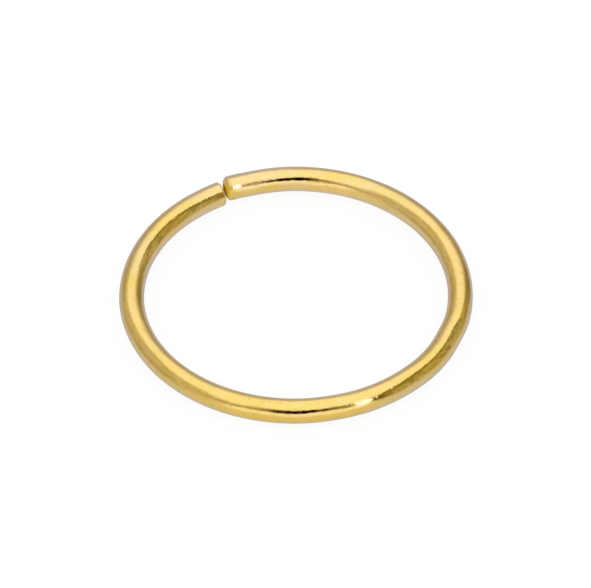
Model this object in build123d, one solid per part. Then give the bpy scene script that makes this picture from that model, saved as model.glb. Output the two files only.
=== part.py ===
"""Open nose hoop: one length of round wire bent into a ring, with its two cut ends facing each other.

The ring lies on its side on the plane Z = 0, with the centre of its bend on the Z axis and the gap
between its ends towards +Y. Most of the wire is one plane arc. The last stretch at each end, called a
tail here, leaves that arc a little: the +X tail rises off the plane and runs wide, and the -X tail bends
in tighter, so that the two ends miss each other slightly, as they do on a hoop that is bent by hand.
"""

from build123d import *
from math import asin, cos, degrees, pi, radians, sin
import os

# Driving dimensions, in millimetres and degrees.
WIRE_DIAMETER = 0.81  # 20 gauge wire
INNER_DIAMETER = 9.85  # clear width inside the hoop
RAISED_END_SETBACK = 0.11  # from the Y axis to the +X tail's end face
TUCKED_END_SETBACK = 0.065  # from the Y axis to the -X tail's end face
RAISED_END_ROUNDING = 0.16  # radius of the tumbled rim on the +X tail's end face
TUCKED_END_ROUNDING = 0.08  # radius of the tumbled rim on the -X tail's end face
TAIL_SPAN = 55.0  # how far each tail reaches back from the Y axis, seen from the centre
RAISED_TAIL_LIFT = 0.03  # how far the +X tail's end stands above the plane of the ring
RAISED_TAIL_FLARE = 0.04  # how far the +X tail's end lies outside the main arc
TUCKED_TAIL_INSET = 0.055  # how far the -X tail's end lies inside the main arc

# Sizes worked out from those.
WIRE_RADIUS = WIRE_DIAMETER / 2
BEND_RADIUS = INNER_DIAMETER / 2 + WIRE_RADIUS
MAIN_SWEEP = 360.0 - 2 * TAIL_SPAN
TAIL_DEPTH = 1 - cos(radians(TAIL_SPAN))  # share of its bend radius by which a tail curves inwards


def wire_section() -> Sketch:
    """The wire's round section where it crosses the +X axis, square to the bend."""
    return Plane.XZ * Pos(BEND_RADIUS, 0) * Circle(WIRE_RADIUS)


def rounded_end(rounding: float) -> Part:
    """The last of the wire beyond its bend, along +Z from the origin: a disc with a rounded outer rim."""
    flat = WIRE_RADIUS - rounding
    with BuildPart() as end:
        with BuildSketch(Plane.XZ):
            with BuildLine():
                Polyline((flat, rounding), (0, rounding), (0, 0), (WIRE_RADIUS, 0))
                CenterArc((flat, 0), rounding, 0, 90)
            make_face()
        revolve(axis=Axis.Z)
    return end.part


def main_arc() -> Part:
    """The plane arc that carries most of the wire, on the -Y side."""
    start = wire_section().rotate(Axis.Z, 90 + TAIL_SPAN)
    return revolve(start, Axis.Z, MAIN_SWEEP)


def tail(bend_radius: float, lift: float, setback: float, rounding: float) -> Part:
    """One tail with its rounded end, on the +X side of the gap.

    It starts where the main arc ends and stops short of the Y axis by its setback. Its own plane is turned
    about the wire's direction at the start by the angle that raises the tail's end by the lift.
    """
    tilt = asin(lift / (bend_radius * TAIL_DEPTH))
    sideways = (BEND_RADIUS - bend_radius) * sin(radians(TAIL_SPAN))
    sweep = TAIL_SPAN - degrees(asin((setback + rounding - sideways) / bend_radius))
    centre = Vector(BEND_RADIUS - bend_radius * cos(tilt), 0, bend_radius * sin(tilt))
    axis = Axis(centre, Vector(sin(tilt), 0, cos(tilt)))
    bent = revolve(wire_section(), axis, sweep)
    cut = bent.faces().filter_by(GeomType.PLANE).sort_by(Axis.Y)[-1]
    return (bent + Plane(cut) * rounded_end(rounding)).rotate(Axis.Z, 90 - TAIL_SPAN)


def hoop() -> Part:
    """The whole wire with rounded ends, standing on Z = 0, as one solid."""
    raised_radius = BEND_RADIUS + RAISED_TAIL_FLARE / TAIL_DEPTH
    raised = tail(raised_radius, RAISED_TAIL_LIFT, RAISED_END_SETBACK, RAISED_END_ROUNDING)
    tucked_radius = BEND_RADIUS - TUCKED_TAIL_INSET / TAIL_DEPTH
    tucked = tail(tucked_radius, 0.0, TUCKED_END_SETBACK, TUCKED_END_ROUNDING)
    return Pos(0, 0, WIRE_RADIUS) * (main_arc() + raised + mirror(tucked, Plane.YZ))


os.makedirs("parts", exist_ok=True)
part = hoop()
print("volume", round(part.volume, 4), "faces", len(part.faces()))
print("plain ring's volume", round(2 * pi**2 * BEND_RADIUS * WIRE_RADIUS**2, 4))
export_step(part, "parts/hoop.step")
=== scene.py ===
"""Dresses an open nose hoop: its fine wire, its cut ends, its gold, and a small studio table.

Everything is in metres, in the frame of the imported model: the hoop lies flat on the plane Z = 0, the
centre of its bend is on the Z axis, and the gap between its ends is towards +Y.
"""

import logging
import math
from collections.abc import Mapping, Sequence
from dataclasses import dataclass
from enum import Enum

import bpy
from mathutils import Matrix, Vector


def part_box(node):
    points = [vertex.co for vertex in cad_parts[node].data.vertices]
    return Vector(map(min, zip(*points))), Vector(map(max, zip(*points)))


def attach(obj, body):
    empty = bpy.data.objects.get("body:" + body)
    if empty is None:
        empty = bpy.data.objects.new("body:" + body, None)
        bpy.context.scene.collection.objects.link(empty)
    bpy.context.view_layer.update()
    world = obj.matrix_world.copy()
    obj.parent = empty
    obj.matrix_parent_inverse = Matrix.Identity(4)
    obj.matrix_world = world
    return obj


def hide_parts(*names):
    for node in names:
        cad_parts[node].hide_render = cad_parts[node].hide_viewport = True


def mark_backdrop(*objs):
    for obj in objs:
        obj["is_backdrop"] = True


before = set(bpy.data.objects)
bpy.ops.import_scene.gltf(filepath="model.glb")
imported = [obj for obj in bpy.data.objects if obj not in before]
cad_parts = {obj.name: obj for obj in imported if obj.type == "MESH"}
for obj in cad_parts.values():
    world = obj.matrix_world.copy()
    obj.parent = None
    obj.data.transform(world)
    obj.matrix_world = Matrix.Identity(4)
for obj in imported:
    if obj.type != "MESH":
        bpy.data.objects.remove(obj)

MM = 0.001
MICRON = 0.001 * MM
FULL_TURN = 2 * math.pi
PLACE = "place_on_straight_wire"  # where each point was, in millimetres, before the wire was bent
UV_MAP = "UVMap"
SOFT_RANGE = (0.3, 0.7)  # the noise values between which a soft pattern goes from none to full
FILM_RANGE = (0.42, 0.68)  # the same for the dull film, which leaves more than half the wire clear

Color = tuple[float, float, float]
WHITE: Color = (1.0, 1.0, 1.0)

log = logging.getLogger("nose_hoop")


# Node trees ---------------------------------------------------------------------------------------


class Number:
    """A number that a node tree works out. Arithmetic on it adds Math nodes to the tree."""

    def __init__(self, graph: "Graph", socket: bpy.types.NodeSocket) -> None:
        """Wraps one output socket of a node in the graph's tree."""
        self.graph = graph
        self.socket = socket

    def __add__(self, other: "Term") -> "Number":
        """This number plus another."""
        return self.graph.math("ADD", self, other)

    def __sub__(self, other: "Term") -> "Number":
        """This number less another."""
        return self.graph.math("SUBTRACT", self, other)

    def __mul__(self, other: "Term") -> "Number":
        """This number times another."""
        return self.graph.math("MULTIPLY", self, other)

    def __truediv__(self, other: "Term") -> "Number":
        """This number over another."""
        return self.graph.math("DIVIDE", self, other)

    def __rsub__(self, other: float) -> "Number":
        """A plain number less this one."""
        return self.graph.math("SUBTRACT", other, self)

    def __rtruediv__(self, other: float) -> "Number":
        """A plain number over this one."""
        return self.graph.math("DIVIDE", other, self)

    def labelled(self, label: str) -> "Number":
        """The same number, with a label on the node that works it out."""
        self.socket.node.label = label
        return self


Term = Number | float
Feed = Number | bpy.types.NodeSocket | float | int | bool | str | Sequence[float] | bpy.types.ID


class Graph:
    """Adds nodes to one node tree and links them."""

    def __init__(self, tree: bpy.types.NodeTree) -> None:
        """Takes the tree that the nodes go into."""
        self.tree = tree

    def add(
        self, kind: str, inputs: Mapping[str | int, Feed] | None = None, **settings: object
    ) -> bpy.types.Node:
        """Adds one node.

        Args:
            kind: the node's class name.
            inputs: what feeds its sockets, by socket name or place.
            settings: the node's own properties.

        Returns:
            The new node.
        """
        node = self.tree.nodes.new(kind)
        for name, setting in settings.items():
            setattr(node, name, setting)
        for key, value in (inputs or {}).items():
            self.feed(node.inputs[key], value)
        return node

    def feed(self, socket: bpy.types.NodeSocket, value: Feed) -> None:
        """Links an output to an input, or sets the input to a plain value.

        Args:
            socket: the input.
            value: the output, or the plain value, where a colour is red, green and blue.
        """
        if isinstance(value, Number):
            value = value.socket
        if isinstance(value, bpy.types.NodeSocket):
            self.tree.links.new(value, socket)
        elif socket.type == "RGBA":
            socket.default_value = (*value, 1.0)
        else:
            socket.default_value = value

    def number(self, socket: bpy.types.NodeSocket) -> Number:
        """An output socket as a number that arithmetic works on."""
        return Number(self, socket)

    def math(self, operation: str, *terms: Term) -> Number:
        """Adds one Math node.

        Args:
            operation: the node's operation, such as SINE.
            terms: its operands in order.

        Returns:
            The node's result.
        """
        node = self.add("ShaderNodeMath", dict(enumerate(terms)), operation=operation)
        return self.number(node.outputs[0])

    def smooth_step(self, value: Term, start: Term, end: Term) -> Number:
        """Adds a number that eases from 0 to 1 as a value goes from start to end.

        Args:
            value: what it follows.
            start: where it is 0.
            end: where it is 1, which may be the lower.

        Returns:
            The eased number.
        """
        node = self.add(
            "ShaderNodeMapRange",
            {"Value": value, "From Min": start, "From Max": end},
            interpolation_type="SMOOTHSTEP",
        )
        return self.number(node.outputs["Result"])

    def mix(self, share: Term, start: Term, end: Term) -> Number:
        """A number between start and end, by a share from 0 to 1."""
        node = self.add("ShaderNodeMix", {0: share, 2: start, 3: end}, data_type="FLOAT")
        return self.number(node.outputs[0])

    def mix_color(self, share: Term, start: Feed, end: Feed) -> bpy.types.NodeSocket:
        """A colour between two, each a socket or red, green and blue, by a share from 0 to 1."""
        node = self.add("ShaderNodeMix", {0: share, 6: start, 7: end}, data_type="RGBA")
        return node.outputs[2]

    def multiply_color(self, one: Feed, other: Feed) -> bpy.types.NodeSocket:
        """The product of two colours, each a socket or red, green and blue."""
        node = self.add("ShaderNodeMix", {0: 1.0, 6: one, 7: other}, data_type="RGBA", blend_type="MULTIPLY")
        return node.outputs[2]

    def vector(self, x: Term, y: Term, z: Term) -> bpy.types.NodeSocket:
        """A vector made of three numbers."""
        return self.add("ShaderNodeCombineXYZ", {"X": x, "Y": y, "Z": z}).outputs["Vector"]

    def parts(self, vector: bpy.types.NodeSocket) -> tuple[Number, Number, Number]:
        """Splits a vector.

        Args:
            vector: the vector's output socket.

        Returns:
            Its X, Y and Z.
        """
        split = self.add("ShaderNodeSeparateXYZ", {"Vector": vector})
        x, y, z = (self.number(split.outputs[axis]) for axis in "XYZ")
        return x, y, z


class ShaderGroup:
    """A shader node group with named inputs and outputs, built once and placed in several materials."""

    FLOAT = "NodeSocketFloat"
    VECTOR = "NodeSocketVector"

    def __init__(
        self, name: str, inputs: Mapping[str, tuple[str, float | None]], outputs: Sequence[str]
    ) -> None:
        """Makes the group's tree and its sockets.

        Args:
            name: the group's name.
            inputs: socket type and first value of each input, by name.
            outputs: names of its outputs, which are all floats.
        """
        self.tree = bpy.data.node_groups.new(name, "ShaderNodeTree")
        self.graph = Graph(self.tree)
        for label, (kind, value) in inputs.items():
            socket = self.tree.interface.new_socket(label, in_out="INPUT", socket_type=kind)
            if value is not None:
                socket.default_value = value
        for label in outputs:
            self.tree.interface.new_socket(label, in_out="OUTPUT", socket_type=self.FLOAT)
        self.start = self.tree.nodes.new("NodeGroupInput")
        self.end = self.tree.nodes.new("NodeGroupOutput")

    def take(self, label: str) -> Number:
        """One of the group's inputs as a number."""
        return self.graph.number(self.start.outputs[label])

    def give(self, label: str, value: Term) -> None:
        """Sends a number out of one of the group's outputs."""
        self.graph.feed(self.end.inputs[label], value)

    def place(self, graph: Graph, inputs: Mapping[str, Feed]) -> bpy.types.Node:
        """Puts the group into a material's tree and feeds it."""
        return graph.add("ShaderNodeGroup", inputs, node_tree=self.tree)


# Finishes -----------------------------------------------------------------------------------------


class SurfaceEffects:
    """The effects that both gold finishes share. Each reads a place on the straight wire in millimetres."""

    def __init__(self) -> None:
        """Builds the groups."""
        self.drawn_lines = self._drawn_lines()
        self.pits = self._pits()
        # Cloudy patches, where the polish is duller and the gold a little darker.
        self.film = self._patches("Dull film", 1.5, 4.0, FILM_RANGE)
        # Small uneven patches, where the plating is a shade rosier or greener.
        self.mottle = self._patches("Mottle", 0.25, 3.0, SOFT_RANGE)
        self.ripple = self._ripple()

    @staticmethod
    def _drawn_lines() -> ShaderGroup:
        """Builds the fine lines left along the wire by drawing and polishing it.

        Returns:
            A group that gives their height.
        """
        group = ShaderGroup(
            "Drawn lines",
            {
                "Place": (ShaderGroup.VECTOR, None),
                "Line width": (ShaderGroup.FLOAT, 0.03),
                "Line length": (ShaderGroup.FLOAT, 3.0),
            },
            ["Height"],
        )
        graph = group.graph
        along, side, rise = graph.parts(group.start.outputs["Place"])
        width = group.take("Line width")
        stretched = graph.vector(along / group.take("Line length"), side / width, rise / width)
        noise = graph.add("ShaderNodeTexNoise", {"Vector": stretched, "Scale": 1.0, "Detail": 2.0})
        group.give("Height", graph.number(noise.outputs["Fac"]))
        return group

    @staticmethod
    def _pits() -> ShaderGroup:
        """Builds small round pits, in a share of the cells of an even scatter.

        Returns:
            A group that gives their depth, from 0 to 1.
        """
        group = ShaderGroup(
            "Pits",
            {
                "Place": (ShaderGroup.VECTOR, None),
                "Spacing": (ShaderGroup.FLOAT, 0.3),
                "Radius": (ShaderGroup.FLOAT, 0.03),
                "Share": (ShaderGroup.FLOAT, 0.3),
            },
            ["Depth"],
        )
        graph = group.graph
        spacing = group.take("Spacing")
        cells = graph.add(
            "ShaderNodeTexVoronoi",
            {"Vector": group.start.outputs["Place"], "Scale": 1.0 / spacing, "Randomness": 1.0},
        )
        draw, _, _ = graph.parts(cells.outputs["Color"])
        chosen = graph.math("LESS_THAN", draw, group.take("Share"))
        distance = graph.number(cells.outputs["Distance"]) * spacing
        group.give("Depth", graph.smooth_step(distance, group.take("Radius"), 0.0) * chosen)
        return group

    @staticmethod
    def _patches(name: str, size: float, detail: float, fade: tuple[float, float]) -> ShaderGroup:
        """Builds soft uneven patches all over the wire.

        Args:
            name: the group's name.
            size: the first value of its patch size, in millimetres.
            detail: how fine the patches' edges are.
            fade: the noise values between which a patch goes from none to full.

        Returns:
            A group that gives their amount, from 0 to 1.
        """
        group = ShaderGroup(
            name,
            {"Place": (ShaderGroup.VECTOR, None), "Patch size": (ShaderGroup.FLOAT, size)},
            ["Amount"],
        )
        graph = group.graph
        place, scale = group.start.outputs["Place"], 1.0 / group.take("Patch size")
        noise = graph.add("ShaderNodeTexNoise", {"Vector": place, "Scale": scale, "Detail": detail})
        group.give("Amount", graph.smooth_step(graph.number(noise.outputs["Fac"]), *fade))
        return group

    @staticmethod
    def _ripple() -> ShaderGroup:
        """Builds the shallow dents and ripples of soft polished metal, longer along the wire than across.

        Returns:
            A group that gives their height, in millimetres.
        """
        group = ShaderGroup(
            "Ripple",
            {
                "Place": (ShaderGroup.VECTOR, None),
                "Size": (ShaderGroup.FLOAT, 0.1),
                "Stretch": (ShaderGroup.FLOAT, 2.0),
            },
            ["Height"],
        )
        graph = group.graph
        along, side, rise = graph.parts(group.start.outputs["Place"])
        size = group.take("Size")
        stretched = graph.vector(along / (size * group.take("Stretch")), side / size, rise / size)
        noise = graph.add("ShaderNodeTexNoise", {"Vector": stretched, "Scale": 1.0, "Detail": 1.0})
        group.give("Height", graph.number(noise.outputs["Fac"]) * size)
        return group


@dataclass(frozen=True)
class StainOrPaintedLight:
    """A patch of another colour on a cut end; some are the face's own colour, others are painted shade,
    painted highlights and painted reflections. It is placed in millimetres from the wire's middle.
    """

    name: str
    side: float  # outwards from the hoop's middle
    rise: float
    reach: float
    color: Color
    core: float = 0.3  # share of its reach over which it is full
    raised_only: bool = False  # on the raised end alone


@dataclass(frozen=True)
class Tint:
    """A slow change of the gold's colour along the wire. Its places are in millimetres."""

    name: str
    start: float  # how far from the centre it starts, and where it is full
    full: float
    centre: float
    color: Color


@dataclass(frozen=True)
class Flat:
    """A spot, in millimetres, where the wire is pressed a little out of round, which tips its surface."""

    name: str
    centre: float
    spread: float
    tip: float  # slope of the surface along the wire's rise
    level: float = 0.29  # the rise at which the surface stays where it was


@dataclass(frozen=True)
class Speck:
    """A tiny raised knot, or a pit where its height is below zero, in millimetres on the straight wire."""

    name: str
    along: float
    side: float
    rise: float
    radius: float
    height: float


@dataclass(frozen=True)
class GoldFinish:
    """One finish of the gold, from the polished wire to the plainer faces of its cut ends."""

    name: str
    color: Color = (1.0, 0.766, 0.336)
    film_color: Color = (1.0, 0.75, 0.26)
    edge_color: Color = WHITE
    roughness: float = 0.06
    film_roughness: float = 0.12
    line_width: float = 0.03  # millimetres, as the next five
    line_length: float = 3.0
    line_relief: float = 0.00025
    pit_spacing: float = 0.35
    pit_radius: float = 0.035
    pit_relief: float = 0.005
    pit_share: float = 0.14
    dent_size: float = 0.45
    fine_size: float = 0.09
    dent_relief: float = 0.05  # share of its size
    fine_relief: float = 0.055
    dent_stretch: float = 3.0  # times as long along the wire as across it
    fine_stretch: float = 2.0
    rosy: Color = (1.0, 0.97, 1.07)  # what the mottled patches multiply the gold by
    green: Color = (0.93, 0.945, 0.855)
    flats: Sequence[Flat] = (
        Flat("pressed at the front", centre=-2.6, spread=0.6, tip=-0.055),
        Flat("pressed at the back", centre=14.3, spread=0.6, tip=0.06),
        Flat("rolled past the front", centre=2.0, spread=1.2, tip=0.10),
    )
    pit_color: Color = (0.40, 0.26, 0.10)
    pit_darkening: float = 0.7  # how much of that colour is at a pit's deepest
    specks: Sequence[Speck] = ()
    stains_and_painted_light: Sequence[StainOrPaintedLight] = ()
    # The gold is paler towards the ends and deeper at the front.
    tints: Sequence[Tint] = (
        Tint("paler gold towards the ends", start=9.5, full=13.5, centre=0.0, color=(1.0, 0.775, 0.41)),
        Tint("deeper gold at the front", start=5.2, full=3.0, centre=-2.8, color=(1.0, 0.758, 0.30)),
    )

    def build(self, effects: SurfaceEffects) -> bpy.types.Material:
        """Makes the material.

        Args:
            effects: the groups that hold the shared effects.

        Returns:
            A metal material whose patterns follow the wire.
        """
        material = bpy.data.materials.new(self.name)
        material.use_nodes = True
        material.node_tree.nodes.clear()
        graph = Graph(material.node_tree)
        place = graph.add("ShaderNodeAttribute", attribute_name=PLACE).outputs["Vector"]
        lines = effects.drawn_lines.place(
            graph, {"Place": place, "Line width": self.line_width, "Line length": self.line_length}
        )
        pits = effects.pits.place(
            graph,
            {
                "Place": place,
                "Spacing": self.pit_spacing,
                "Radius": self.pit_radius,
                "Share": self.pit_share,
            },
        )
        film = graph.number(effects.film.place(graph, {"Place": place}).outputs["Amount"])
        pit = graph.number(pits.outputs["Depth"])
        line = graph.number(lines.outputs["Height"])
        height = line * self.line_relief - pit * self.pit_relief
        for size, stretch, relief in (
            (self.dent_size, self.dent_stretch, self.dent_relief),
            (self.fine_size, self.fine_stretch, self.fine_relief),
        ):
            ripple = effects.ripple.place(graph, {"Place": place, "Size": size, "Stretch": stretch})
            height = height + graph.number(ripple.outputs["Height"]) * relief
        along, side, rise = graph.parts(place)
        for speck in self.specks:
            centre = (speck.along, speck.side, speck.rise)
            offset = graph.add("ShaderNodeVectorMath", {0: place, 1: centre}, operation="DISTANCE")
            inside = graph.smooth_step(graph.number(offset.outputs["Value"]), speck.radius, 0.0)
            height = height + inside.labelled(speck.name) * speck.height
            if speck.height < 0.0:
                pit = graph.math("MAXIMUM", pit, inside)
        for flat in self.flats:
            away = (along - flat.centre) / flat.spread
            pressed = graph.math("EXPONENT", away * away * -1.0).labelled(flat.name)
            height = height + pressed * (rise - flat.level) * flat.tip
        bump = graph.add("ShaderNodeBump", {"Strength": 1.0, "Distance": MM, "Height": height})
        color: Feed = self.color
        for tint in self.tints:
            away = graph.math("ABSOLUTE", along - tint.centre)
            share = graph.smooth_step(away, tint.start, tint.full).labelled(tint.name)
            color = graph.mix_color(share, color, tint.color)
        color = graph.mix_color(film, color, self.film_color)
        mottle = graph.number(effects.mottle.place(graph, {"Place": place}).outputs["Amount"])
        color = graph.multiply_color(color, graph.mix_color(mottle, self.rosy, self.green))
        # Each pit is darker towards its deepest, in the pit colour.
        color = graph.mix_color(pit * self.pit_darkening, color, self.pit_color)
        edge_color: Feed = self.edge_color
        # Patches on the cut faces: the face's own colour, and painted shade, a painted highlight and a
        # painted reflection.
        for face_patch in self.stains_and_painted_light:
            across, above = side - face_patch.side, rise - face_patch.rise
            away = graph.math("SQRT", across * across + above * above)
            share = graph.smooth_step(away, face_patch.reach, face_patch.reach * face_patch.core).labelled(face_patch.name)
            if face_patch.raised_only:
                share = share * graph.math("GREATER_THAN", along, 0.0)
            color = graph.mix_color(share, color, face_patch.color)
            edge_color = graph.mix_color(share, edge_color, face_patch.color)
        surface = graph.add(
            "ShaderNodeBsdfPrincipled",
            {
                "Base Color": color,
                "Specular Tint": edge_color,
                "Metallic": 1.0,
                "Roughness": graph.mix(film, self.roughness, self.film_roughness),
                "Normal": bump.outputs["Normal"],
            },
        )
        graph.add("ShaderNodeOutputMaterial", {"Surface": surface.outputs["BSDF"]})
        return material


# The hoop -----------------------------------------------------------------------------------------


@dataclass(frozen=True)
class Bulge:
    """A short stretch of the hoop whose bend runs a little wide of the round, or inside it."""

    name: str
    place: float  # along the bend from the middle of the main arc, in radians
    spread: float
    push: float


@dataclass
class Hoop:
    """The wire: a main arc opposite the gap, and a tail at each end that leaves that arc a little."""

    outer_radius: float
    wire_radius: float = 0.405 * MM
    raised_setback: float = 0.11 * MM  # from the middle of the gap to the raised end's face
    tucked_setback: float = 0.065 * MM
    raised_rounding: float = 0.16 * MM  # radius of the worn rim of its face
    tucked_rounding: float = 0.08 * MM
    tail_span: float = math.radians(55.0)  # how far each tail reaches back from the gap
    raised_lift: float = 0.03 * MM  # above the plane, at its end
    tucked_inset: float = 0.055 * MM  # inside the main arc, at its end
    raised_skew: float = math.radians(5.0)  # how far its face is out of square
    skewed_length: float = 0.5 * MM  # over which the wire takes up that skew
    lobe_push: float = 0.014 * MM  # how far the bend is out of round as a whole
    waviness: float = 0.003 * MM  # the deepest hollow in the wire's surface
    wave_length: float = 1.0 * MM
    seed: float = 4.0
    sides: int = 72
    body_rings: int = 640
    rounding_rings: int = 10
    cap_rings: int = 5
    bulges: Sequence[Bulge] = (
        Bulge("before the kink", math.radians(27.0), math.radians(9.0), 0.016 * MM),
        Bulge("kink", math.radians(41.0), math.radians(5.0), -0.018 * MM),
        Bulge("past the kink", math.radians(52.0), math.radians(6.0), 0.008 * MM),
        Bulge("pressed in", math.radians(-14.0), math.radians(7.0), -0.013 * MM),
        Bulge("left side", math.radians(-112.0), math.radians(9.0), 0.008 * MM),
        Bulge("raised tail", math.radians(157.0), math.radians(10.0), 0.012 * MM),
        Bulge("raised end", math.radians(177.2), math.radians(5.6), 0.038 * MM),
        Bulge("tucked end", math.radians(-179.0), math.radians(5.0), 0.016 * MM),
    )

    TREE = "Open hoop"
    CLEARANCE = 1.0 * MICRON
    WELD = 0.1 * MICRON
    LOBES = 3.0  # round the whole hoop, besides the single slow one
    MEASURES = (
        "outer_radius",
        "wire_radius",
        "raised_setback",
        "tucked_setback",
        "raised_rounding",
        "tucked_rounding",
        "tail_span",
        "raised_lift",
        "tucked_inset",
        "raised_skew",
        "skewed_length",
        "lobe_push",
        "waviness",
        "wave_length",
        "seed",
    )
    COUNTS = ("sides", "body_rings", "rounding_rings", "cap_rings")

    @classmethod
    def from_frame(cls, node: str) -> "Hoop":
        """A hoop as wide as the CAD node that it stands for, but for a hair's clearance."""
        low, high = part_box(node)
        return cls(outer_radius=(high.x - low.x) / 2 - cls.CLEARANCE)

    def _tree(self, wire: bpy.types.Material, cut: bpy.types.Material) -> bpy.types.NodeTree:
        """Builds the node tree that bends a straight tube of quads into the hoop.

        Args:
            wire: the material of the wire's round surface.
            cut: the material of its end faces and their rims.

        Returns:
            A geometry node tree with one named input for each size.
        """
        tree = bpy.data.node_groups.new(self.TREE, "GeometryNodeTree")
        graph = Graph(tree)
        for name in self.MEASURES:
            tree.interface.new_socket(name, in_out="INPUT", socket_type="NodeSocketFloat")
        for name in self.COUNTS:
            tree.interface.new_socket(name, in_out="INPUT", socket_type="NodeSocketInt")
        tree.interface.new_socket("Geometry", in_out="OUTPUT", socket_type="NodeSocketGeometry")
        start = tree.nodes.new("NodeGroupInput")
        size = {name: graph.number(start.outputs[name]) for name in (*self.MEASURES, *self.COUNTS)}

        # A grid of rings along the wire and columns round it, told apart by their place in the grid.
        ends = size["rounding_rings"] + size["cap_rings"]
        rings = size["body_rings"] + ends * 2.0 + 1.0
        columns = size["sides"] + 1.0
        grid = graph.add("GeometryNodeMeshGrid", {"Vertices X": rings, "Vertices Y": columns})
        index = graph.number(graph.add("GeometryNodeInputIndex").outputs["Index"])
        ring = graph.math("FLOOR", (index + 0.5) / columns)
        turn = (index - ring * columns) / size["sides"] * FULL_TURN - FULL_TURN / 4

        # How far each ring is from the nearer end face, and how wide it is there.
        from_end = graph.math("MINIMUM", ring, rings - 1.0 - ring)
        side = graph.math("SIGN", ring - (rings - 1.0) * 0.5)
        raised = graph.math("MAXIMUM", side, 0.0)
        tucked = graph.math("MAXIMUM", side * -1.0, 0.0)
        edge = size["raised_rounding"] * raised + size["tucked_rounding"] * (1.0 - raised)
        in_cap = graph.math("MINIMUM", from_end / size["cap_rings"], 1.0)
        past_cap = graph.math("MAXIMUM", from_end - size["cap_rings"], 0.0)
        rounding = graph.math("MINIMUM", past_cap / size["rounding_rings"], 1.0) * (math.pi / 2)
        past_rounding = graph.math("MAXIMUM", from_end - ends, 0.0) / (size["body_rings"] * 0.5)
        flat = size["wire_radius"] - edge
        radius = flat * in_cap + edge * graph.math("SINE", rounding)
        bend = size["outer_radius"] - size["wire_radius"]
        half_length = bend * math.pi - size["raised_setback"] * raised
        half_length = half_length - size["tucked_setback"] * (1.0 - raised)
        set_back = edge * (1.0 - graph.math("COSINE", rounding))
        set_back = set_back + past_rounding * (half_length - edge)
        along = side * (half_length - set_back)

        # The bent centre line: the plane arc, and how far each tail has left it.
        angle = along / bend
        tail_start = math.pi - size["tail_span"]
        into_tail = graph.math("MAXIMUM", graph.math("ABSOLUTE", angle) - tail_start, 0.0)
        depth = 1.0 - graph.math("COSINE", size["tail_span"])
        departure = (1.0 - graph.math("COSINE", into_tail)) / depth
        steepness = graph.math("SINE", into_tail) / (depth * bend)
        lift = size["raised_lift"] * raised
        inset = size["tucked_inset"] * tucked

        # Each point: out along the hoop's own radius and up, leaning so that rings stay square to the wire.
        outwards = radius * graph.math("COSINE", turn)
        upwards = radius * graph.math("SINE", turn)
        lean = (outwards * inset + upwards * lift) * steepness * -1.0
        near_end = graph.math("MAXIMUM", 1.0 - (half_length - side * along) / size["skewed_length"], 0.0)
        lean = lean - outwards * raised * near_end * graph.math("TANGENT", size["raised_skew"])
        wide = (graph.math("SINE", angle * self.LOBES) + graph.math("SINE", angle)) * size["lobe_push"]
        for bulge in self.bulges:
            reach = (angle - bulge.place) / bulge.spread
            swell = graph.math("EXPONENT", reach * reach * -1.0).labelled(bulge.name)
            wide = wide + swell * bulge.push
        from_centre = bend - inset * departure + wide + outwards
        sine, cosine = graph.math("SINE", angle), graph.math("COSINE", angle)
        bent = graph.vector(
            from_centre * sine + lean * cosine,
            lean * sine - from_centre * cosine,
            size["wire_radius"] + lift * departure + upwards,
        )
        straight = graph.vector(along / MM, outwards / MM, upwards / MM)

        stored = graph.add(
            "GeometryNodeStoreNamedAttribute",
            {"Geometry": grid.outputs["Mesh"], "Name": UV_MAP, "Value": grid.outputs["UV Map"]},
            data_type="FLOAT2",
            domain="CORNER",
        )
        placed = graph.add(
            "GeometryNodeStoreNamedAttribute",
            {"Geometry": stored.outputs["Geometry"], "Name": PLACE, "Value": straight},
            data_type="FLOAT_VECTOR",
            domain="POINT",
        )
        in_cut = graph.add("GeometryNodeCaptureAttribute", {"Geometry": placed.outputs["Geometry"]})
        in_cut.capture_items.new("FLOAT", "From end")
        graph.feed(in_cut.inputs["From end"], from_end)
        shaped = graph.add(
            "GeometryNodeSetPosition",
            {"Geometry": in_cut.outputs["Geometry"], "Position": bent},
        )
        closed = graph.add(
            "GeometryNodeMergeByDistance",
            {"Geometry": shaped.outputs["Geometry"], "Distance": self.WELD},
        )

        # The slight unevenness of drawn and polished wire, which only ever takes metal away.
        place = graph.add("GeometryNodeInputNamedAttribute", {"Name": PLACE}, data_type="FLOAT_VECTOR")
        wave = graph.add(
            "ShaderNodeTexNoise",
            {
                "Vector": place.outputs["Attribute"],
                "W": size["seed"],
                "Scale": MM / size["wave_length"],
                "Detail": 1.0,
            },
            noise_dimensions="4D",
        )
        normal = graph.add("GeometryNodeInputNormal")
        sunk = (graph.number(wave.outputs["Fac"]) - 1.0) * size["waviness"]
        offset = graph.add(
            "ShaderNodeVectorMath",
            {0: normal.outputs["Normal"], "Scale": sunk},
            operation="SCALE",
        )
        worn = graph.add(
            "GeometryNodeSetPosition",
            {"Geometry": closed.outputs["Geometry"], "Offset": offset.outputs["Vector"]},
        )

        smooth = graph.add("GeometryNodeSetShadeSmooth", {"Geometry": worn.outputs["Geometry"]})
        real = graph.add("GeometryNodeRealizeInstances", {"Geometry": smooth.outputs["Geometry"]})
        gold = graph.add(
            "GeometryNodeSetMaterial",
            {"Geometry": real.outputs["Geometry"], "Material": wire},
        )
        is_cut = graph.math("LESS_THAN", graph.number(in_cut.outputs["From end"]), ends)
        cut_faces = graph.add(
            "GeometryNodeSetMaterial",
            {"Geometry": gold.outputs["Geometry"], "Selection": is_cut, "Material": cut},
        )
        end = tree.nodes.new("NodeGroupOutput")
        graph.feed(end.inputs["Geometry"], cut_faces.outputs["Geometry"])
        return tree

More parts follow.
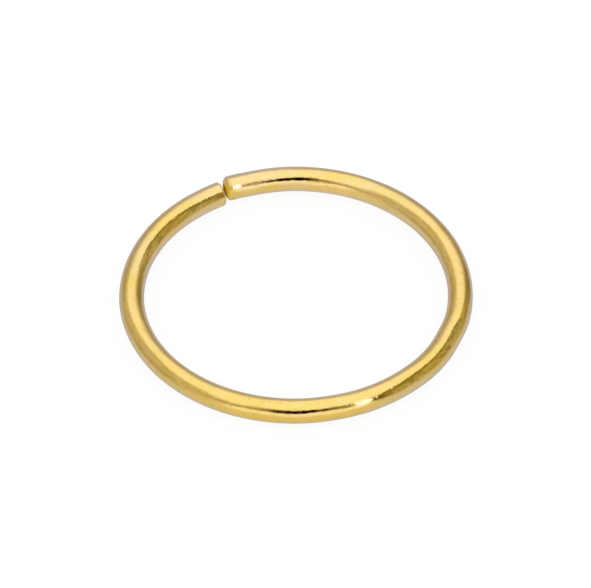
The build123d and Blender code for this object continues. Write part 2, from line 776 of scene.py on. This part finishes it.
    def build(self, name: str, wire: bpy.types.Material, cut: bpy.types.Material) -> bpy.types.Object:
        """Runs the node tree and keeps its result as a plain mesh.

        Args:
            name: the piece's name.
            wire: the material of the wire's round surface.
            cut: the material of its end faces and their rims.

        Returns:
            The finished piece, at the origin.
        """
        tree = self._tree(wire, cut)
        maker = bpy.data.objects.new(name + "_maker", bpy.data.meshes.new(name + "_maker"))
        bpy.context.scene.collection.objects.link(maker)
        modifier = maker.modifiers.new(self.TREE, "NODES")
        modifier.node_group = tree
        for item in tree.interface.items_tree:
            if item.in_out == "INPUT":
                modifier[item.identifier] = getattr(self, item.name)
        evaluated = maker.evaluated_get(bpy.context.evaluated_depsgraph_get())
        mesh = bpy.data.meshes.new_from_object(evaluated)
        mesh.name = name
        mesh.materials.pop(index=0)  # the empty slot that the maker brings
        bpy.data.objects.remove(maker)
        piece = bpy.data.objects.new(name, mesh)
        bpy.context.scene.collection.objects.link(piece)
        return piece


# The studio table ---------------------------------------------------------------------------------


class SeenBy(Enum):
    """Which rays a thing answers."""

    CAMERA_AND_LIGHT = "camera and light"
    REFLECTIONS = "reflections"


@dataclass(frozen=True)
class Panel:
    """A flat card or cloth standing round the table, as the hoop sees it. Its sizes are in degrees."""

    name: str
    bearing: float  # 0 is straight away from the camera, 90 to its right
    half_width: float
    low: float
    high: float
    side_blur: float
    low_blur: float
    high_blur: float
    color: Color
    folds: float = 0.0  # how far its folds lighten and darken it, as a share of its colour


@dataclass(frozen=True)
class Oval:
    """A round or oval thing by the table, as the hoop sees it. Its sizes and lean are in degrees."""

    name: str
    bearing: float  # 0 is straight away from the camera, 90 to its right
    rise: float
    half_width: float
    half_height: float
    lean: float
    blur: float  # share of its size
    color: Color


@dataclass
class StudioTent:
    """The cloth, cards and camera round the table, which only reflections see."""

    centre: Vector
    turn: float
    radius: float = 0.6
    strength: float = 1.03
    fold_width: float = 4.0  # degrees, as the next
    fold_height: float = 20.0
    heights: Sequence[tuple[float, Color]] = (
        (-90.0, (0.60, 0.61, 0.65)),
        (-45.0, (0.60, 0.61, 0.71)),
        (-20.0, (0.64, 0.60, 0.55)),
        (-4.0, (0.43, 0.40, 0.37)),
        (8.0, (0.26, 0.225, 0.20)),
        (25.0, (0.54, 0.46, 0.25)),
        (40.0, (0.96, 0.93, 0.79)),
        (52.0, (0.98, 0.97, 0.79)),
        (90.0, (0.99, 1.02, 0.85)),
    )
    panels: Sequence[Panel] = (
        Panel("left wall", -87.0, 46.0, 3.0, 53.0, 24.0, 22.0, 10.0, (0.56, 0.50, 0.32), folds=0.15),
        Panel("back cloth", -4.0, 14.0, -20.0, 35.0, 28.0, 2.0, 12.0, (0.53, 0.54, 0.67)),
        Panel("right flag", 82.0, 42.0, -5.0, 54.0, 8.0, 3.0, 6.0, (0.40, 0.34, 0.14), folds=0.4),
        Panel("flag rail", 88.0, 38.0, 44.0, 54.0, 12.0, 5.0, 4.0, (0.23, 0.18, 0.01), folds=0.3),
        Panel("flag hem", 112.0, 15.0, 32.0, 54.0, 8.0, 8.0, 4.0, (0.29, 0.235, 0.04), folds=0.4),
        Panel("flag fold", 43.0, 8.0, -14.0, 24.0, 6.0, 10.0, 18.0, (0.25, 0.21, 0.10)),
        Panel("flag end", 133.0, 8.0, -4.0, 43.0, 6.0, 2.0, 4.0, (0.05, 0.02, 0.0)),
        Panel("front table", 184.0, 60.0, -64.0, 23.0, 28.0, 24.0, 18.0, (0.74, 0.67, 0.42)),
        Panel("front glow", 178.0, 41.0, -2.0, 26.0, 6.0, 22.0, 12.0, (1.02, 1.02, 1.0)),
        Panel("back table", -1.0, 56.0, -74.0, -19.0, 28.0, 6.0, 20.0, (0.48, 0.48, 0.76)),
    )
    ovals: Sequence[Oval] = (
        Oval("table edge", 0.0, -45.0, 22.0, 22.0, 0.0, 0.5, (0.50, 0.43, 0.31)),
        Oval("camera body", 180.0, 39.6, 34.0, 15.0, 0.0, 0.8, (0.36, 0.28, 0.10)),
        Oval("lens", 176.8, 39.0, 17.0, 13.0, 0.0, 0.35, (0.01, 0.0, 0.0)),
        Oval("lamp", 140.0, 35.0, 4.8, 21.0, 12.0, 0.5, (1.5, 1.45, 2.1)),
        Oval("clamp", 122.0, 35.0, 3.7, 10.0, 20.0, 0.8, (0.30, 0.24, 0.05)),
    )

    LEAST_AHEAD = 0.001  # of a unit direction, which keeps the height of a panel finite beside it

    @staticmethod
    def _degrees(graph: Graph, operation: str, *terms: Term) -> Number:
        """An inverse trigonometric result in degrees."""
        return graph.math(operation, *terms) * (180.0 / math.pi)

    def _height_colors(self, graph: Graph, rise: Number) -> bpy.types.NodeSocket:
        """Adds the colour of the cloth and table by height alone.

        Args:
            graph: the tent's tree.
            rise: the height of the direction above the horizon, in degrees.

        Returns:
            The colour.
        """
        node = graph.add("ShaderNodeValToRGB", {"Fac": (rise + 90.0) / 180.0})
        elements = node.color_ramp.elements
        while len(elements) < len(self.heights):
            elements.new(0.5)
        for element, (height, color) in zip(elements, self.heights):
            element.position = (height + 90.0) / 180.0
            element.color = (*color, 1.0)
        return node.outputs["Color"]

    def _panel_share(self, graph: Graph, x: Number, y: Number, z: Number, panel: Panel) -> Number:
        """Adds how much of one panel is seen along a direction, on axes with the camera towards -Y.

        Args:
            graph: the tent's tree.
            x: the direction's part to the right.
            y: its part away from the camera.
            z: its part upwards.
            panel: the panel.

        Returns:
            The share, from 0 to 1.
        """
        bearing = math.radians(panel.bearing)
        ahead = x * math.sin(bearing) + y * math.cos(bearing)
        aside = x * math.cos(bearing) - y * math.sin(bearing)
        across = graph.math("ABSOLUTE", self._degrees(graph, "ARCTAN2", aside, ahead))
        rise = self._degrees(graph, "ARCTAN2", z, graph.math("MAXIMUM", ahead, self.LEAST_AHEAD))
        width, blur = panel.half_width, panel.side_blur
        in_width = graph.smooth_step(across, width + blur, width - blur)
        above = graph.smooth_step(rise, panel.low - panel.low_blur, panel.low + panel.low_blur)
        below = graph.smooth_step(rise, panel.high + panel.high_blur, panel.high - panel.high_blur)
        return (in_width * above * below).labelled(panel.name)

    def _folds(self, graph: Graph, bearing: Number, rise: Number) -> Number:
        """Adds the light and dark of the folds in hanging cloth.

        Args:
            graph: the tent's tree.
            bearing: where the direction points round the table, in degrees.
            rise: its height above the horizon, in degrees.

        Returns:
            How light the cloth is there, from 0 to 1.
        """
        place = graph.vector(bearing / self.fold_width, rise / self.fold_height, 0.0)
        noise = graph.add("ShaderNodeTexNoise", {"Vector": place, "Scale": 1.0, "Detail": 1.0})
        return graph.smooth_step(graph.number(noise.outputs["Fac"]), *SOFT_RANGE)

    @staticmethod
    def _panel_color(graph: Graph, panel: Panel, fold: Number) -> Feed:
        """Adds the colour of one panel, with its folds where it has any.

        Args:
            graph: the tent's tree.
            panel: the panel.
            fold: the light and dark of the folds.

        Returns:
            The plain colour, or the socket that gives it.
        """
        if not panel.folds:
            return panel.color
        dark = tuple(part * (1.0 - panel.folds) for part in panel.color)
        light = tuple(part * (1.0 + panel.folds) for part in panel.color)
        return graph.mix_color(fold, dark, light)

    def _oval_share(self, graph: Graph, x: Number, y: Number, z: Number, oval: Oval) -> Number:
        """Adds how much of one oval is seen along a direction, on axes with the camera towards -Y.

        Args:
            graph: the tent's tree.
            x: the direction's part to the right.
            y: its part away from the camera.
            z: its part upwards.
            oval: the oval.

        Returns:
            The share, from 0 to 1.
        """
        bearing, rise, lean = math.radians(oval.bearing), math.radians(oval.rise), math.radians(oval.lean)
        level = x * math.sin(bearing) + y * math.cos(bearing)
        ahead = level * math.cos(rise) + z * math.sin(rise)
        aside = x * math.cos(bearing) - y * math.sin(bearing)
        up = z * math.cos(rise) - level * math.sin(rise)
        across = self._degrees(graph, "ARCTAN2", aside, ahead)
        above = self._degrees(graph, "ARCTAN2", up, ahead)
        width = (across * math.cos(lean) + above * math.sin(lean)) / oval.half_width
        height = (above * math.cos(lean) - across * math.sin(lean)) / oval.half_height
        reach = graph.math("SQRT", width * width + height * height)
        return graph.smooth_step(reach, 1.0 + oval.blur, 1.0 - oval.blur).labelled(oval.name)

    def material(self) -> bpy.types.Material:
        """Makes the glow of the tent's inside, which differs by direction alone.

        Returns:
            The material.
        """
        material = bpy.data.materials.new("studio_tent")
        material.use_nodes = True
        material.node_tree.nodes.clear()
        graph = Graph(material.node_tree)
        coordinates = graph.add("ShaderNodeTexCoord").outputs["Object"]
        direction = graph.add("ShaderNodeVectorMath", {0: coordinates}, operation="NORMALIZE")
        x, y, z = graph.parts(direction.outputs["Vector"])
        rise = self._degrees(graph, "ARCSINE", z)
        color = self._height_colors(graph, rise)
        fold = self._folds(graph, self._degrees(graph, "ARCTAN2", x, y), rise)
        layers = [
            (self._panel_share(graph, x, y, z, panel), self._panel_color(graph, panel, fold))
            for panel in self.panels
        ]
        layers += [(self._oval_share(graph, x, y, z, oval), oval.color) for oval in self.ovals]
        for share, layer_color in layers:
            color = graph.mix_color(share, color, layer_color)
        glow = graph.add("ShaderNodeEmission", {"Color": color, "Strength": self.strength})
        graph.add("ShaderNodeOutputMaterial", {"Surface": glow.outputs["Emission"]})
        return material

    def build(self) -> bpy.types.Object:
        """Makes the tent as a ball round the table.

        Returns:
            The tent, which is part of the stage.
        """
        bpy.ops.mesh.primitive_ico_sphere_add(subdivisions=5, radius=self.radius, location=self.centre)
        tent = bpy.context.object
        tent.name = "studio_tent"
        tent.rotation_euler.z = self.turn
        tent.data.materials.append(self.material())
        set_seen_by(tent, SeenBy.REFLECTIONS)
        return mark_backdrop(tent)


@dataclass
class StudioTable:
    """The white table top, which takes the hoop's faint shadow."""

    width: float = 4.0
    drop: float = 0.005 * MM  # under the hoop
    color: Color = (0.10, 0.10, 0.10)
    lift: float = 0.91  # the glow that makes it white where it shows, with the room's light on it

    def build(self) -> bpy.types.Object:
        """Makes the table top just under the hoop.

        Returns:
            The table top, which is part of the stage.
        """
        bpy.ops.mesh.primitive_plane_add(size=self.width, location=(0.0, 0.0, -self.drop))
        table = bpy.context.object
        table.name = "table_top"
        material = bpy.data.materials.new("white_table")
        material.use_nodes = True
        material.node_tree.nodes.clear()
        graph = Graph(material.node_tree)
        strength = shows_background(graph) * self.lift
        matt = graph.add("ShaderNodeBsdfDiffuse", {"Color": self.color})
        glow = graph.add("ShaderNodeEmission", {"Color": WHITE, "Strength": strength})
        both = graph.add("ShaderNodeAddShader", {0: matt.outputs["BSDF"], 1: glow.outputs["Emission"]})
        graph.add("ShaderNodeOutputMaterial", {"Surface": both.outputs["Shader"]})
        table.data.materials.append(material)
        set_seen_by(table, SeenBy.CAMERA_AND_LIGHT)
        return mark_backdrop(table)


@dataclass
class SoftLight:
    """The plain light of the room, which is white where it shows."""

    level: float = 0.98  # of what falls on things

    def build(self) -> None:
        """Makes the world."""
        world = bpy.data.worlds.new("white_room")
        world.use_nodes = True
        world.node_tree.nodes.clear()
        graph = Graph(world.node_tree)
        strength = graph.mix(shows_background(graph), self.level, 1.0)
        light = graph.add("ShaderNodeBackground", {"Color": WHITE, "Strength": strength})
        graph.add("ShaderNodeOutputWorld", {"Surface": light.outputs["Background"]})
        bpy.context.scene.world = world


@dataclass
class TableCamera:
    """The camera, which looks down at the hoop from in front of the gap's far side."""

    target: Vector
    azimuth: float = -26.2  # degrees, as are its elevation and roll
    elevation: float = 44.9
    roll: float = -0.67
    distance: float = 268.3 * MM
    slide: float = -0.008 * MM  # sideways and up in its own plane
    climb: float = -0.001 * MM
    lens: float = 504.0  # in the camera's millimetres, as is its sensor
    sensor_width: float = 36.0
    near: float = 10 * MM

    def build(self) -> bpy.types.Object:
        """Makes the scene's camera.

        Returns:
            The camera, which looks at the target.
        """
        turn, rise = math.radians(self.azimuth), math.radians(self.elevation)
        back = Vector((math.sin(turn) * math.cos(rise), -math.cos(turn) * math.cos(rise), math.sin(rise)))
        camera = bpy.data.objects.new("table_camera", bpy.data.cameras.new("table_camera"))
        bpy.context.scene.collection.objects.link(camera)
        camera.data.sensor_width = self.sensor_width
        camera.data.lens = self.lens
        camera.data.clip_start = self.near
        facing = (-back).to_track_quat("-Z", "Y").to_matrix().to_4x4()
        facing = facing @ Matrix.Rotation(math.radians(self.roll), 4, "Z")
        moved = facing @ Vector((self.slide, self.climb, 0.0))
        camera.matrix_world = Matrix.Translation(self.target + back * self.distance + moved) @ facing
        bpy.context.scene.camera = camera
        return camera


def shows_background(graph: Graph) -> Number:
    """Tells the rays that see a white background from those that only light things.

    Args:
        graph: the tree of a material or world.

    Returns:
        1 for the camera's rays, reflections and rays through glass, and otherwise 0.
    """
    path = graph.add("ShaderNodeLightPath")
    shown = graph.number(path.outputs["Is Camera Ray"])
    for ray in ("Is Glossy Ray", "Is Transmission Ray"):
        shown = graph.math("MAXIMUM", shown, graph.number(path.outputs[ray]))
    return shown


def set_seen_by(thing: bpy.types.Object, seen_by: SeenBy) -> None:
    """Makes a thing answer only the rays that it is there for.

    Args:
        thing: the piece or stage object.
        seen_by: those rays.
    """
    reflections = seen_by is SeenBy.REFLECTIONS
    thing.visible_glossy = reflections
    thing.visible_camera = not reflections
    thing.visible_diffuse = not reflections
    thing.visible_shadow = not reflections
    thing.visible_transmission = not reflections
    thing.visible_volume_scatter = not reflections


def main() -> None:
    """Dresses the hoop and sets the studio table."""
    logging.basicConfig(level=logging.INFO, format="%(name)s: %(message)s")
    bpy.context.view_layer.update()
    node = "hoop"
    effects = SurfaceEffects()
    specks = (
        Speck("knot before the streak", -0.78, 0.26, 0.31, radius=0.05, height=0.006),
        Speck("knot past the streak", 0.10, 0.29, 0.29, radius=0.05, height=0.006),
        Speck("knot further on", 0.67, 0.23, 0.33, radius=0.05, height=0.006),
        Speck("pit at the back", 13.14, -0.38, 0.14, radius=0.045, height=-0.006),
        Speck("first pit", -4.20, -0.14, 0.38, radius=0.035, height=-0.005),
        Speck("second pit", -3.99, 0.035, 0.40, radius=0.04, height=-0.005),
        Speck("third pit", -3.58, 0.105, 0.39, radius=0.03, height=-0.005),
        Speck("fourth pit", -3.32, 0.035, 0.40, radius=0.04, height=-0.005),
        Speck("fifth pit", -2.95, 0.035, 0.40, radius=0.035, height=-0.005),
        Speck("pit near the tucked end", -14.77, 0.17, 0.37, radius=0.04, height=-0.005),
        Speck("pit beside it", -15.08, 0.20, 0.35, radius=0.04, height=-0.005),
    )
    wire_gold = GoldFinish("polished_gold_wire", specks=specks).build(effects)
    # The cut faces' own deeper gold, then a painted highlight, a painted reflection and painted shade.
    stains_and_painted_light = (
        StainOrPaintedLight("worn", side=0.0, rise=-0.02, reach=0.38, color=(1.0, 0.72, 0.05)),
        # Painted highlight: a deeper, brighter gold on the inner side of the raised end's face.
        StainOrPaintedLight("bright", side=-0.15, rise=0.12, reach=0.35, color=(1.0, 0.72, 0.12), raised_only=True),
        # Painted reflection: a pale rosy gold high on the outer side of the face.
        StainOrPaintedLight("rosy", side=0.24, rise=0.26, reach=0.28, color=(1.0, 0.80, 0.58)),
        # Painted shade and painted reflection of the other end: dark brown low on the face.
        StainOrPaintedLight("painted shade low on the face", side=0.12, rise=-0.17, reach=0.37, color=(0.47, 0.22, 0.0)),
    )
    cut_gold = GoldFinish(
        "cut_gold_end",
        roughness=0.42,
        film_roughness=0.46,
        line_length=0.05,
        stains_and_painted_light=stains_and_painted_light,
    ).build(effects)
    hoop = Hoop.from_frame(node)
    piece = hoop.build("gold_hoop", wire_gold, cut_gold)
    # So fine a wire doesn't show clearly in its own polish.
    set_seen_by(piece, SeenBy.CAMERA_AND_LIGHT)
    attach(piece, "root")
    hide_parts(node)
    log.info("%s: %d vertices, %d faces", piece.name, len(piece.data.vertices), len(piece.data.polygons))

    bpy.context.scene.view_settings.view_transform = "Standard"
    camera = TableCamera(target=Vector((0.0, 0.0, hoop.wire_radius)))
    camera.build()
    StudioTable().build()
    SoftLight().build()
    StudioTent(centre=camera.target, turn=math.radians(camera.azimuth)).build()


if __name__ == "__main__":
    main()
